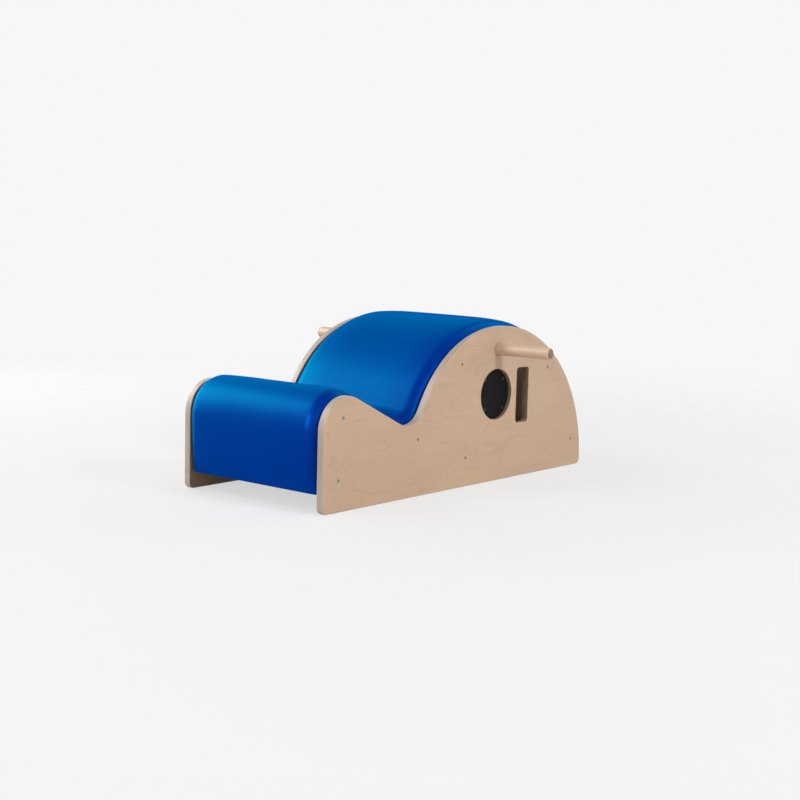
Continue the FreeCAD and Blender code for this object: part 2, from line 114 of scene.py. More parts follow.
def outline():
    """The padded stretches from the lower front end to the lower back end, each tangent to the next."""
    seat = Arc((SEAT_RADIUS, SEAT_CENTRE_HEIGHT), SEAT_RADIUS, 180.0, 90.0 - SEAT_SLOPE, 1)
    top_centre = (BARREL_TOP_DISTANCE, BARREL_HEIGHT - BARREL_TOP_RADIUS)
    top = Arc(top_centre, BARREL_TOP_RADIUS, 90.0 + SHOULDER_BREAK, 90.0 - BACK_BREAK, 1)
    top_start, start_outward = top.at(0.0)
    top_end, end_outward = top.at(1.0)
    shoulder_centre = top_start - start_outward * SHOULDER_RADIUS
    back_centre = top_end - end_outward * BACK_RADIUS
    pad_back_angle = math.degrees(math.asin((PAD_FLOOR_GAP - back_centre[1]) / BACK_RADIUS))

    fall = direction(-SEAT_SLOPE)
    fall_start = seat.at(1.0)[0]
    beside = fall_start + direction(90.0 - SEAT_SLOPE) * VALLEY_RADIUS
    apart = shoulder_centre - beside
    along = apart @ fall
    reach_square = (VALLEY_RADIUS + SHOULDER_RADIUS) ** 2 + RISE_LENGTH ** 2
    valley_centre = beside + fall * (along - math.sqrt(reach_square - apart @ apart + along ** 2))
    between = shoulder_centre - valley_centre
    turn = math.atan2(VALLEY_RADIUS + SHOULDER_RADIUS, RISE_LENGTH)
    rise_slope = math.degrees(math.atan2(between[1], between[0]) + turn)
    valley = Arc(valley_centre, VALLEY_RADIUS, 270.0 - SEAT_SLOPE, 270.0 + rise_slope, -1)
    shoulder = Arc(shoulder_centre, SHOULDER_RADIUS, 90.0 + rise_slope, 90.0 + SHOULDER_BREAK, 1)
    return {
        "apron": Line((0.0, PAD_FLOOR_GAP), (0.0, SEAT_CENTRE_HEIGHT)),
        "seat": seat,
        "fall": Line(fall_start, valley.at(0.0)[0]),
        "valley": valley,
        "rise": Line(valley.at(1.0)[0], shoulder.at(0.0)[0]),
        "shoulder": shoulder,
        "top": top,
        "back": Arc(back_centre, BACK_RADIUS, 90.0 - BACK_BREAK, pad_back_angle, 1),
    }


PATH = outline()
STARTS = dict(zip(PATH, np.cumsum([0.0] + [stretch.length for stretch in PATH.values()])))
PATH_LENGTH = sum(stretch.length for stretch in PATH.values())
VALLEY_TURN = PATH["valley"].last - PATH["valley"].first
VALLEY_SEAM = STARTS["valley"] + PATH["valley"].length * (VALLEY_RAIL_ANGLE - PATH["valley"].first) / VALLEY_TURN


def on_outline(distance):
    """Position and outward direction, in the XZ plane of the row frame, at a distance along the outline."""
    for name, stretch in PATH.items():
        if distance <= STARTS[name] + stretch.length or name == "back":
            place, outward = stretch.at((distance - STARTS[name]) / stretch.length)
            return place + np.array([PANEL_FRONT, 0.0]), outward


def eased(value, start, end):
    """0 up to start, 1 from end, and a smooth rise between."""
    share = np.clip((value - start) / (end - start), 0.0, 1.0)
    return share * share * (3 - 2 * share)


# Cross-sections of the pad: height of the crown, half width of its flat middle, radius of its edges
SEAT_SECTION = np.array([14.0, 70.0, 31.5]) * MM
BARREL_SECTION = np.array([16.5, 105.0, 33.0]) * MM
END_SECTION = np.array([-6.0, 165.0, 12.0]) * MM
FRONT_TAPER = 120.0 * MM
BACK_TAPER = 120.0 * MM
BLEND_PAST_SHOULDER = 60.0 * MM


def section_at(distance):
    """Crown, flat half width and edge radius at a distance along the outline."""
    blend = eased(distance, STARTS["fall"], STARTS["shoulder"] + BLEND_PAST_SHOULDER)
    section = SEAT_SECTION + (BARREL_SECTION - SEAT_SECTION) * blend
    from_end = min(distance / FRONT_TAPER, (PATH_LENGTH - distance) / BACK_TAPER, 1.0)
    return END_SECTION + (section - END_SECTION) * (1.0 - (1.0 - from_end) ** 2)


# Points of half a section on its flat middle, its falling side and its rounded edge
FLAT_STEPS, FALL_STEPS, EDGE_STEPS = 10, 9, 8
ROUNDEST_EDGE = 0.95


def half_profile(crown, flat_half, radius):
    """Points (y, outward) of the right half of the pad's section, from the middle to the lower side."""
    level = -DECK_INSET
    drop = crown - level
    span = PAD_HALF_WIDTH - flat_half
    radius = min(radius, drop * ROUNDEST_EDGE, span * ROUNDEST_EDGE)
    fall_radius = ((span - radius) ** 2 + drop ** 2 - radius ** 2) / (2 * (drop - radius))
    turn = math.asin((span - radius) / (fall_radius - radius))
    points = [(flat_half * k / FLAT_STEPS, crown) for k in range(FLAT_STEPS)]
    for k in range(FALL_STEPS):
        angle = turn * k / FALL_STEPS
        points.append((flat_half + fall_radius * math.sin(angle), crown - fall_radius * (1 - math.cos(angle))))
    for k in range(EDGE_STEPS + 1):
        angle = turn + (math.pi / 2 - turn) * k / EDGE_STEPS
        points.append((PAD_HALF_WIDTH - radius + radius * math.sin(angle), level + radius * math.cos(angle)))
    return points


def full_profile(distance):
    """Points (y, outward) of the whole section, from the left side to the right."""
    right = half_profile(*section_at(distance))
    left = [(-y, outward) for y, outward in reversed(right[1:])]
    return np.array(left + right)


def across_offsets(distances, profiles):
    """Grid of points from (y, outward) profiles, one for each distance along the outline."""
    rows = []
    for distance, profile in zip(distances, profiles):
        place, outward = on_outline(distance)
        rows.append([(place[0] + outward[0] * h, y, place[1] + outward[1] * h) for y, h in profile])
    return np.array(rows)


def pad_surface():
    """Grid of points on the padded top: rows along the outline, columns from the left side to the right."""
    count = round((PATH_LENGTH - 2 * END_ROUNDING) / STATION_SPACING)
    distances = np.linspace(END_ROUNDING, PATH_LENGTH - END_ROUNDING, count + 1)
    return distances, across_offsets(distances, [full_profile(distance) for distance in distances])


def grid_normals(grid):
    """Unit normals of a grid of points, outward."""
    along = np.gradient(grid, axis=0)
    across = np.gradient(grid, axis=1)
    normals = np.cross(along, across)
    normals /= np.linalg.norm(normals, axis=2, keepdims=True)
    middle = normals[len(normals) // 2, normals.shape[1] // 2]
    return normals if middle[2] > 0 else -normals


def mesh_object(name, points, faces, material):
    """A smooth-shaded mesh in the scene, with one material."""
    mesh = bpy.data.meshes.new(name)
    mesh.from_pydata([tuple(point) for point in points], [], faces)
    mesh.validate()
    mesh.polygons.foreach_set("use_smooth", [True] * len(mesh.polygons))
    mesh.update()
    piece = bpy.data.objects.new(name, mesh)
    bpy.context.scene.collection.objects.link(piece)
    piece.data.materials.append(material)
    return piece


# ---------------------------------------------------------------- materials
# Colours are linear RGB
FACE_COLOUR = (0.565, 0.390, 0.263)
FACE_CONTRAST = 0.62
EDGE_COLOUR = (0.395, 0.315, 0.250)
VENEER_LINE_COLOUR = (0.20, 0.13, 0.095)
CUT_COLOUR = (0.40, 0.265, 0.175)
# Painted shade multiplied onto the panels' inner faces, which face the shaded inside
INNER_PAINTED_SHADE = (0.40, 0.36, 0.31)
BAR_COLOUR = (0.555, 0.388, 0.262)
# Paler colour painted on the bar's far end: painted light, where that end stands brightly lit
BAR_FAR_END_PAINTED_LIGHT = (0.505, 0.378, 0.270)
# Painted light: where along Y the bar's far end starts to turn paler, where it stands brightly lit, and where it is
# fully paler
PAINTED_LIGHT_REACH = (0.215, 0.30)
END_GRAIN_TINT = (1.0, 0.90, 0.80)
RAIL_COLOUR = (0.520, 0.350, 0.200)
DECK_COLOUR = (0.780, 0.565, 0.390)
# The film over the vinyl tints its reflections and has none of its own
VINYL_COLOUR = (0.0, 0.019, 0.222)
VINYL_TINT = (0.3, 0.31, 1.0, 1.0)
VINYL_FILM = (0.06, 0.93, 1.0, 1.0)
VINYL_ROUGHNESS = 0.40
VINYL_SHINE = 0.3
SCREW_COLOUR = (0.30, 0.275, 0.24)
STAPLE_COLOUR = (0.45, 0.45, 0.45)
DISC_COLOUR = (0.006, 0.006, 0.0063)
DISC_SCREW_COLOUR = (0.009, 0.009, 0.009)

# Rings of the wood's figure across one wave of its noise
RING_COUNT = 17.0

# Plies of the panels, and where the first veneer ends, in plies
PLY_COUNT = 7
FACE_VENEER = 0.3
PANEL_OUTER = abs(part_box("side_panel_left")[0].y)
PANEL_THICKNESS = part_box("side_panel_left")[1].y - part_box("side_panel_left")[0].y
RECESS_CENTRE = sum(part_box("recess_disc_left"), Vector()) / 2
RECESS_RADIUS = 61.25 * MM
SLOT_CENTRE = Vector((PANEL_FRONT + 714.4 * MM, 0.0, 201.0 * MM))
SLOT_HALF = (24.5 * MM, 67.25 * MM)
CUT_MARGIN = 1.5 * MM


class Shader:
    """One node material around a Principled shader; constants go straight on its sockets."""

    def __init__(self, name, **constants):
        self.material = bpy.data.materials.new(name)
        self.material.use_nodes = True
        self.tree = self.material.node_tree
        self.tree.nodes.clear()
        self.surface = self.add("BsdfPrincipled", {key.replace("_", " "): v for key, v in constants.items()})
        self.output = self.add("OutputMaterial", {"Surface": self.surface.outputs[0]})
        coordinates = self.add("TexCoord")
        self.place = coordinates.outputs["Object"]
        self.facing = coordinates.outputs["Normal"]

    def add(self, kind, sockets=None, **settings):
        """A new node with its sockets set or linked."""
        node = self.tree.nodes.new("ShaderNode" + kind)
        for key, value in settings.items():
            setattr(node, key, value)
        for key, value in (sockets or {}).items():
            self.set(node, key, value)
        return node

    def set(self, node, key, value):
        socket = node.inputs[key]
        if isinstance(value, bpy.types.NodeSocket):
            self.tree.links.new(value, socket)
        elif isinstance(value, tuple) and len(value) == 3 and socket.type == "RGBA":
            socket.default_value = (*value, 1.0)
        else:
            socket.default_value = value

    def math(self, operation, *values):
        return self.add("Math", dict(enumerate(values)), operation=operation).outputs[0]

    def stretched(self, scale, offset=(0.0, 0.0, 0.0)):
        """The object's own coordinates, scaled and then moved."""
        return self.add("Mapping", {"Vector": self.place, "Scale": scale, "Location": offset}).outputs[0]

    def noise(self, vector, scale, detail=2.0, roughness=0.5, distortion=0.0):
        sockets = {
            "Vector": vector, "Scale": scale, "Detail": detail, "Roughness": roughness, "Distortion": distortion}
        return self.add("TexNoise", sockets).outputs[0]

    def spread(self, value, low, high, to_low=0.0, to_high=1.0):
        """A value's range from low to high becomes to_low to to_high, smoothly and clamped."""
        sockets = {"Value": value, 1: low, 2: high, 3: to_low, 4: to_high}
        return self.add("MapRange", sockets, interpolation_type="SMOOTHSTEP").outputs[0]

    def near(self, value, middle, reach):
        """1 where a value is at the middle, falling smoothly to 0 at the reach from it."""
        apart = self.math("ABSOLUTE", self.math("SUBTRACT", value, middle))
        return self.math("SUBTRACT", 1.0, self.spread(apart, 0.0, reach))

    def from_axis(self, first, second):
        """Distance of a point from the crossing of two planes, given its distances from each."""
        squares = (self.math("MULTIPLY", value, value) for value in (first, second))
        return self.math("SQRT", self.math("ADD", *squares))

    def stained(self, colour, share, amount, stain):
        """A colour mixed towards a stain by a share of the surface times an amount."""
        return self.mix(self.math("MULTIPLY", share, amount), colour, stain)

    def mix(self, share, first, second, blend="MIX"):
        node = self.add("Mix", data_type="RGBA", blend_type=blend)
        for index, value in ((0, share), (6, first), (7, second)):
            self.set(node, index, value)
        return node.outputs[2]

    def bump(self, height, distance, strength):
        return self.add("Bump", {"Height": height, "Distance": distance, "Strength": strength}).outputs[0]

    def split(self, vector):
        return self.add("SeparateXYZ", {0: vector}).outputs


def shade(colour, factor):
    """A colour made darker or lighter."""
    return tuple(min(1.0, channel * factor) for channel in colour)


def wood_figure(shader, colour, along, contrast=1.0, seed=0.0, cathedral=0.5):
    """Colour and height of plain-sliced pale wood; along is the axis of its grain, 0 for X and 1 for Y."""
    def axis_scale(long_way, cross_way):
        scale = [cross_way] * 3
        scale[along] = long_way
        return tuple(scale)

    shift = (seed, seed * 1.7, seed * 0.6)
    tone = shader.noise(shader.stretched(axis_scale(1.6, 7.0), shift), 2.2, 3.0, 0.55)
    streaks = shader.noise(shader.stretched(axis_scale(2.5, 60.0), shift), 3.0, 4.0, 0.6, 0.3)
    fibres = shader.noise(shader.stretched(axis_scale(30.0, 900.0), shift), 1.0, 3.0, 0.6)
    bent = shader.noise(shader.stretched(axis_scale(2.2, 7.5), shift), 1.0, 2.0, 0.45, 0.15)
    rings = shader.math("FRACT", shader.math("MULTIPLY", bent, RING_COUNT))
    broken = shader.spread(shader.noise(shader.stretched(axis_scale(5.0, 30.0), shift), 1.5, 2.0), 0.42, 0.68)
    line = shader.math("MULTIPLY", shader.near(rings, 0.5, 0.16), broken)
    flecks = shader.noise(shader.stretched(axis_scale(70.0, 420.0), shift), 1.0, 1.0, 0.4)
    flecks = shader.spread(flecks, 0.66, 0.74)

    dark = shade(colour, 1.0 - 0.16 * contrast)
    light = shade(colour, 1.0 + 0.09 * contrast)
    warm = tuple(np.array(dark) * (1.03, 0.97, 0.9))
    result = shader.mix(shader.spread(tone, 0.3, 0.7), shade(colour, 1.0 - 0.05 * contrast), light)
    result = shader.stained(result, shader.spread(streaks, 0.35, 0.75), 0.55 * contrast, warm)
    result = shader.stained(result, line, cathedral * contrast, shade(dark, 0.86))
    result = shader.stained(result, shader.spread(fibres, 0.35, 0.75), 0.28 * contrast, dark)
    result = shader.stained(result, flecks, 0.35 * contrast, shade(dark, 0.75))
    height = shader.math("ADD", shader.math("MULTIPLY", fibres, 0.6), shader.math("MULTIPLY", flecks, -0.5))
    return result, height


def in_cutouts(shader, x, z):
    """1 inside the recess and the hand slot, seen across the panel, and 0 elsewhere."""
    from_recess = shader.from_axis(
        shader.math("SUBTRACT", x, RECESS_CENTRE.x), shader.math("SUBTRACT", z, RECESS_CENTRE.z))
    recess = shader.math("LESS_THAN", from_recess, RECESS_RADIUS + CUT_MARGIN)
    beside = [
        shader.math("LESS_THAN", shader.math("ABSOLUTE", shader.math("SUBTRACT", value, middle)), half + CUT_MARGIN)
        for value, middle, half in ((x, SLOT_CENTRE.x, SLOT_HALF[0]), (z, SLOT_CENTRE.z, SLOT_HALF[1]))]
    return shader.math("MAXIMUM", recess, shader.math("MULTIPLY", *beside))


def panel_material():
    """Satin maple plywood: figured faces, layers on every edge, and painted shade on the inner faces and deeper in
    the cut-outs.
    """
    shader = Shader("panel_plywood", Roughness=0.42, Specular_IOR_Level=0.35)
    face, height = wood_figure(shader, FACE_COLOUR, 0, FACE_CONTRAST, 0.0, 0.75)
    x, y, z = shader.split(shader.place)
    from_face = shader.math("SUBTRACT", PANEL_OUTER, shader.math("ABSOLUTE", y))
    depth = shader.math("MULTIPLY", from_face, PLY_COUNT / PANEL_THICKNESS)
    layer = shader.math("PINGPONG", depth, 1.0)
    cross = shader.spread(layer, 0.35, 0.65)
    glue = shader.near(layer, 0.5, 0.1)
    broken = shader.spread(shader.noise(shader.stretched((40.0, 1.0, 40.0)), 1.0, 3.0, 0.6), 0.4, 0.62)
    veneer_line = shader.math("MULTIPLY", shader.near(depth, FACE_VENEER, 0.16), broken)
    pores = shader.noise(shader.stretched((260.0, 900.0, 260.0)), 1.0, 2.0, 0.6)
    long_tone = shader.noise(shader.stretched((9.0, 120.0, 9.0)), 1.0, 2.0)
    edge = shader.mix(cross, EDGE_COLOUR, shade(EDGE_COLOUR, 0.84))
    edge = shader.stained(edge, glue, 0.3, shade(EDGE_COLOUR, 0.6))
    edge = shader.stained(edge, veneer_line, 0.6, VENEER_LINE_COLOUR)
    edge = shader.stained(edge, shader.spread(pores, 0.45, 0.8), 0.4, shade(EDGE_COLOUR, 0.6))
    edge = shader.stained(edge, shader.spread(long_tone, 0.3, 0.7), 0.35, shade(EDGE_COLOUR, 1.12))
    # Walls of the recess and slot: dark ply layers, and painted shade growing deeper into the cut
    wall = shader.mix(cross, CUT_COLOUR, shade(CUT_COLOUR, 0.35))
    wall = shader.mix(shader.spread(depth, 0.0, 2.0 * PLY_COUNT), wall, shade(CUT_COLOUR, 0.3))
    edge = shader.mix(in_cutouts(shader, x, z), edge, wall)
    turned = shader.split(shader.facing)[1]
    is_face = shader.spread(shader.math("ABSOLUTE", turned), 0.62, 0.86)
    inward = shader.math("MULTIPLY", shader.math("SIGN", y), shader.math("MULTIPLY", turned, -1.0))
    # Painted shade: faces turned inward are darkened
    face = shader.mix(shader.spread(inward, 0.5, 0.8), face, shader.mix(1.0, face, INNER_PAINTED_SHADE, "MULTIPLY"))
    shader.set(shader.surface, "Base Color", shader.mix(is_face, edge, face))
    relief = shader.math("ADD", shader.math("MULTIPLY", height, is_face), shader.math("MULTIPLY", glue, -0.8))
    shader.set(shader.surface, "Normal", shader.bump(relief, 0.00012, 0.5))
    return shader.material


def solid_wood_material(name, colour, along, roughness, contrast, seed, cathedral=0.4, painted_light=None):
    """Planed solid wood with darker end grain; its last argument is a paler colour painted on its far end as painted
    light.
    """
    shader = Shader(name, Roughness=roughness, Specular_IOR_Level=0.35)
    figure, height = wood_figure(shader, colour, along, contrast, seed, cathedral)
    if painted_light:
        # Painted light: the far end turns towards the paler colour
        figure = shader.mix(shader.spread(shader.split(shader.place)[along], *PAINTED_LIGHT_REACH), figure, painted_light)
    facing = shader.math("ABSOLUTE", shader.split(shader.facing)[along])
    end = shader.spread(facing, 0.75, 0.95)
    pores = shader.noise(shader.stretched((700.0, 700.0, 700.0)), 1.0, 2.0, 0.6)
    end_light, end_dark = (tuple(np.array(shade(colour, factor)) * END_GRAIN_TINT) for factor in (0.46, 0.32))
    end_colour = shader.mix(shader.spread(pores, 0.4, 0.75), end_light, end_dark)
    shader.set(shader.surface, "Base Color", shader.mix(end, figure, end_colour))
    shader.set(shader.surface, "Normal", shader.bump(height, 0.0001, 0.45))
    return shader.material


def vinyl_material():
    """Smooth satin vinyl with a very fine grain."""
    shader = Shader(
        "blue_vinyl", Roughness=VINYL_ROUGHNESS, Specular_IOR_Level=VINYL_SHINE, Specular_Tint=VINYL_TINT,
        Coat_Weight=1.0, Coat_Roughness=1.0, Coat_IOR=1.0, Coat_Tint=VINYL_FILM)
    cells = shader.add("TexVoronoi", {"Vector": shader.stretched((1.0, 1.0, 1.0)), "Scale": 750.0, "Randomness": 1.0})
    grain = shader.spread(cells.outputs["Distance"], 0.05, 0.55)
    fine = shader.noise(shader.place, 2600.0, 2.0, 0.5)
    height = shader.math("ADD", grain, shader.math("MULTIPLY", fine, 0.5))
    tone = shader.noise(shader.place, 6.0, 2.0, 0.5)
    colour = shader.mix(shader.spread(tone, 0.3, 0.7), shade(VINYL_COLOUR, 0.95), shade(VINYL_COLOUR, 1.05))
    shader.set(shader.surface, "Base Color", colour)
    shader.set(shader.surface, "Normal", shader.bump(height, 0.00004, 0.35))
    return shader.material


def foam_material():
    """Open-celled foam with a rough surface."""
    shader = Shader("cream_foam", Roughness=0.95, Specular_IOR_Level=0.2)
    cells = shader.add("TexVoronoi", {"Vector": shader.place, "Scale": 900.0})
    colour = shader.mix(shader.spread(cells.outputs["Distance"], 0.1, 0.6), (0.44, 0.40, 0.30), (0.62, 0.58, 0.47))
    shader.set(shader.surface, "Base Color", colour)
    shader.set(shader.surface, "Normal", shader.bump(cells.outputs["Distance"], 0.0005, 0.8))
    return shader.material


def metal_material(name, colour, roughness):
    """Dull plated steel with fine wear."""
    shader = Shader(name, Metallic=1.0)
    wear = shader.noise(shader.place, 900.0, 3.0, 0.65)
    broad = shader.noise(shader.place, 220.0, 2.0)
    tint = shader.mix(shader.spread(broad, 0.3, 0.7), shade(colour, 0.8), shade(colour, 1.15))
    shader.set(shader.surface, "Base Color", tint)
    shader.set(shader.surface, "Roughness", shader.spread(wear, 0.2, 0.8, roughness - 0.1, roughness + 0.12))
    shader.set(shader.surface, "Normal", shader.bump(wear, 0.00003, 0.5))
    return shader.material


def plastic_material(name, colour, roughness, texture_scale, shine):
    """Black plastic or paint with a fine moulded texture."""
    shader = Shader(name, Specular_IOR_Level=shine)
    speckle = shader.noise(shader.place, texture_scale, 2.0, 0.6)
    broad = shader.noise(shader.place, 30.0, 3.0, 0.6)
    tint = shader.mix(shader.spread(broad, 0.35, 0.7), colour, shade(colour, 1.35))
    shader.set(shader.surface, "Base Color", tint)
    shader.set(shader.surface, "Roughness", shader.spread(broad, 0.2, 0.8, roughness - 0.06, roughness + 0.08))
    shader.set(shader.surface, "Normal", shader.bump(speckle, 0.00005, 0.4))
    return shader.material


PANEL_PLY = panel_material()
BAR_WOOD = solid_wood_material("bar_maple", BAR_COLOUR, 1, 0.45, 0.55, 4.2, 0.2, BAR_FAR_END_PAINTED_LIGHT)
RAIL_WOOD = solid_wood_material("rail_hardwood", RAIL_COLOUR, 1, 0.6, 1.0, 9.1)
DECK_PLY = solid_wood_material("deck_plywood", DECK_COLOUR, 1, 0.7, 1.1, 2.7, 0.3)
BLUE_VINYL = vinyl_material()
CREAM_FOAM = foam_material()
SCREW_STEEL = metal_material("dull_screw_steel", SCREW_COLOUR, 0.5)
STAPLE_WIRE = metal_material("staple_wire_steel", STAPLE_COLOUR, 0.4)
BLACK_DISC = plastic_material("black_disc_plastic", DISC_COLOUR, 0.55, 1500.0, 0.05)
BLACK_SCREW = plastic_material("black_screw_paint", DISC_SCREW_COLOUR, 0.38, 2500.0, 0.4)

NODE_MATERIALS = {
    "side_panel": PANEL_PLY,
    "rail": RAIL_WOOD,
    "seat_deck": DECK_PLY,
    "barrel_deck": DECK_PLY,
    "cover_staples": STAPLE_WIRE,
    "deck_screws": SCREW_STEEL,
    "panel_screws": SCREW_STEEL,
    "recess_disc": BLACK_DISC,
    "disc_screws": BLACK_SCREW,
    "grip_bar": BAR_WOOD,
}
for node_name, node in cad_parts.items():
    for start, material in NODE_MATERIALS.items():
        if node_name.startswith(start):
            node.data.materials.clear()
            node.data.materials.append(material)


# ---------------------------------------------------------------- upholstery
def tube(top, bottom, keep_bottom=None):
    """Points and faces of a tube with end caps, between a top and a bottom grid of one size.

    keep_bottom says which of the bottom's faces stay, by row and column.
    """
    rows, columns = top.shape[:2]
    ring = np.concatenate([top, bottom[:, ::-1]], axis=1)
    around = 2 * columns
    faces = []
    for i in range(rows - 1):
        for j in range(around):
            under = columns <= j < around - 1
            if under and keep_bottom is not None and not keep_bottom(i, around - 1 - j):
                continue
            k = (j + 1) % around
            faces.append((i * around + j, i * around + k, (i + 1) * around + k, (i + 1) * around + j))
    for row in (0, rows - 1):
        for j in range(columns - 1):
            first, last = row * around + j, row * around + around - 1 - j
            faces.append((first, last, last - 1, first + 1))
    return ring.reshape(-1, 3), faces


def shell_object(name, points, faces, material):
    """A smooth mesh with merged doubles, no loose points and normals that face outward."""
    piece = mesh_object(name, points, faces, material)
    edit = bmesh.new()
    edit.from_mesh(piece.data)
    bmesh.ops.remove_doubles(edit, verts=edit.verts, dist=0.00002)
    bmesh.ops.delete(edit, geom=[vertex for vertex in edit.verts if not vertex.link_faces], context="VERTS")
    bmesh.ops.recalc_face_normals(edit, faces=edit.faces)
    highest = max(edit.faces, key=lambda face: face.calc_center_median().z)
    if highest.normal.z < 0:
        bmesh.ops.reverse_faces(edit, faces=edit.faces)
    edit.to_mesh(piece.data)
    edit.free()
    return piece


# Swelling of the pad's skin: how long and how hard it is blown up, how far a point may move,
# how deep it starts, how firmly the foam holds it, and the rows and columns at its borders that stay
CLOTH_FRAMES = 20
CLOTH_PRESSURE = 8.0
CLOTH_CAP = 2.0 * MM
CLOTH_START = 0.8 * MM
CLOTH_GLUE = 0.24
CLOTH_HELD_ROWS = 3
CLOTH_HELD_COLUMNS = 2
CLOTH_SMOOTHING = 3
CLOTH_QUALITY = 6
CLOTH_MASS = 0.3
CLOTH_STIFFNESS = 8.0
CLOTH_BENDING = 2.0
CLOTH_DAMPING = 12.0
LEAST_MOVE = 1e-9

# Unevenness of the foam: its wave length, its height, and each wave's turns along, across and at the start
FOAM_WAVE = 28.0 * MM
FOAM_UNEVEN = 0.18 * MM
FOAM_WAVES = ((1.0, 1.3, 0.4), (1.7, -2.1, 2.0), (0.6, 3.4, 0.0))


def inflated(grid, distances):
    """The pad's top after its skin, a little slack, is swelled by air pressure over a fixed base."""
    rows, columns = grid.shape[:2]
    held = np.zeros((rows, columns))
    held[:CLOTH_HELD_ROWS] = held[-CLOTH_HELD_ROWS:] = 1.0
    held[:, :CLOTH_HELD_COLUMNS] = held[:, -CLOTH_HELD_COLUMNS:] = 1.0
    from_side = np.minimum(np.arange(columns), np.arange(columns)[::-1]) / EDGE_STEPS
    from_end = np.minimum(np.arange(rows), np.arange(rows)[::-1]) / (4.0 * CLOTH_HELD_ROWS)
    lowered = eased(from_end, 0.0, 1.0)[:, None] * eased(from_side, 0.0, 1.5)[None, :] * CLOTH_START
    start = grid - grid_normals(grid) * lowered[:, :, None]
    base = across_offsets(distances, [[(y, -DECK_INSET) for y in row] for row in grid[:, :, 1]])
    points, faces = tube(start, base)
    skin = mesh_object("skin_under_pressure", points, [face[::-1] for face in faces], BLUE_VINYL)
    around = 2 * columns
    index = np.arange(rows)[:, None] * around + np.arange(columns)[None, :]
    group = skin.vertex_groups.new(name="held")
    on_top = set(int(i) for i in index[held == 0.0])
    group.add([i for i in range(len(points)) if i not in on_top], 1.0, "REPLACE")
    group.add(sorted(on_top), CLOTH_GLUE, "REPLACE")
    cloth = skin.modifiers.new("cloth", "CLOTH")
    cloth.settings.quality = CLOTH_QUALITY
    cloth.settings.mass = CLOTH_MASS
    cloth.settings.tension_stiffness = cloth.settings.compression_stiffness = CLOTH_STIFFNESS
    cloth.settings.shear_stiffness = CLOTH_STIFFNESS
    cloth.settings.bending_stiffness = CLOTH_BENDING
    cloth.settings.tension_damping = cloth.settings.compression_damping = CLOTH_DAMPING
    cloth.settings.use_pressure = True
    cloth.settings.uniform_pressure_force = CLOTH_PRESSURE
    cloth.settings.effector_weights.gravity = 0.0
    cloth.settings.vertex_group_mass = "held"
    cloth.collision_settings.use_collision = False
    cloth.point_cache.frame_start, cloth.point_cache.frame_end = 1, CLOTH_FRAMES
    for step in range(1, CLOTH_FRAMES + 1):
        bpy.context.scene.frame_set(step)
    swelled = skin.evaluated_get(bpy.context.evaluated_depsgraph_get()).to_mesh()
    places = np.empty(3 * len(swelled.vertices))
    swelled.vertices.foreach_get("co", places)
    moved = places.reshape(-1, 3)[index] - start
    bpy.data.objects.remove(skin)
    bpy.context.scene.frame_set(1)
    far = np.linalg.norm(moved, axis=2, keepdims=True)
    moved *= np.tanh(far / CLOTH_CAP) * CLOTH_CAP / np.maximum(far, LEAST_MOVE)
    for _ in range(CLOTH_SMOOTHING):
        moved[1:-1, 1:-1] = (moved[:-2, 1:-1] + moved[2:, 1:-1] + moved[1:-1, :-2] + moved[1:-1, 2:]) / 4
    return start + moved


def uneven(grid, distances):
    """Slow rise and fall of hand-laid foam, none at the borders."""
    across = grid[:, :, 1] / PAD_HALF_WIDTH
    along = distances[:, None] / FOAM_WAVE
    wave = sum(np.sin(turns * along + slant * across + shift) for turns, slant, shift in FOAM_WAVES)
    from_end = np.minimum(distances, PATH_LENGTH - distances)[:, None] / FRONT_TAPER
    share = np.clip(1.0 - across ** 4, 0.0, 1.0) * np.clip(from_end, 0.0, 1.0)
    return grid + grid_normals(grid) * (wave * share * FOAM_UNEVEN)[:, :, None]


DISTANCES, SURFACE = pad_surface()
SURFACE = uneven(SURFACE, DISTANCES)
SURFACE = inflated(SURFACE, DISTANCES)
NORMALS = grid_normals(SURFACE)
COLUMNS = SURFACE.shape[1]
HEM_COLUMNS = 8
END_TURNS = (30.0, 60.0, 90.0)
FOAM_CLEARANCE = 0.1 * MM


def hem_profile():
    """The cover's underside at one station, from the left to the right: corner, hem, and points over the mouth."""
    half = (COLUMNS - 1) // 2
    outer = PAD_HALF_WIDTH - HEM_ROUNDING
    inner = PAD_HALF_WIDTH - HEM_WIDTH
    right = [(PAD_HALF_WIDTH, HEM_ROUNDING), (PAD_HALF_WIDTH - 0.3 * HEM_ROUNDING, 0.3 * HEM_ROUNDING)]
    right += [(y, 0.0) for y in np.linspace(outer, inner, HEM_COLUMNS - 2)]
    right += [(y, 0.0) for y in np.linspace(inner, 0.0, half - HEM_COLUMNS + 2)[1:]]
    right = [(y, rise - HEM_INSET) for y, rise in right]
    return [(-y, h) for y, h in right] + [(y, h) for y, h in reversed(right[:-1])]


